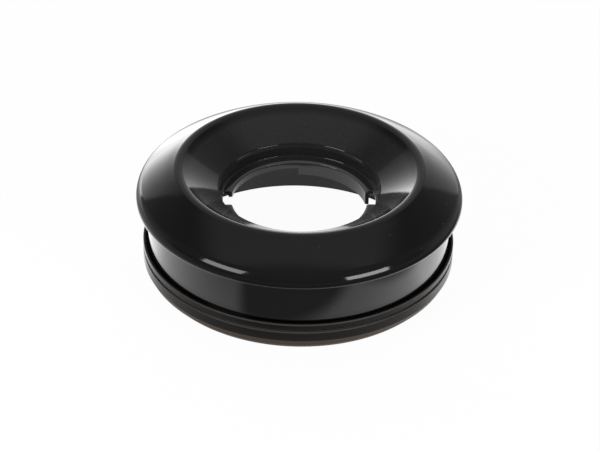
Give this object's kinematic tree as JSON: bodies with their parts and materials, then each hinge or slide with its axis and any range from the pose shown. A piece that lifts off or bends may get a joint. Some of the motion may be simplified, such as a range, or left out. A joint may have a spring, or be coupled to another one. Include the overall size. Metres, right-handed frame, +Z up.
{
  "type": "blender jar lid",
  "caption": "Black domed lid ring for a blender jar, with a funnel, a central filler opening with a quarter-turn lock, and a ribbed rubber gasket round its neck.",
  "frame": {"origin": "centre of the lid's foot, on the plane that it rests on", "axes": "+Z up along the lid's axis, out of the filler opening; +X through the middle of one notch"},
  "size_m": [0.122, 0.122, 0.0425],
  "materials": {
    "lid_plastic": "gloss",
    "gasket_rubber": "satin"
  },
  "bodies": {
    "root": {"lid_ring": "lid_plastic", "sealing_gasket": "gasket_rubber"}
  },
  "joints": []
}
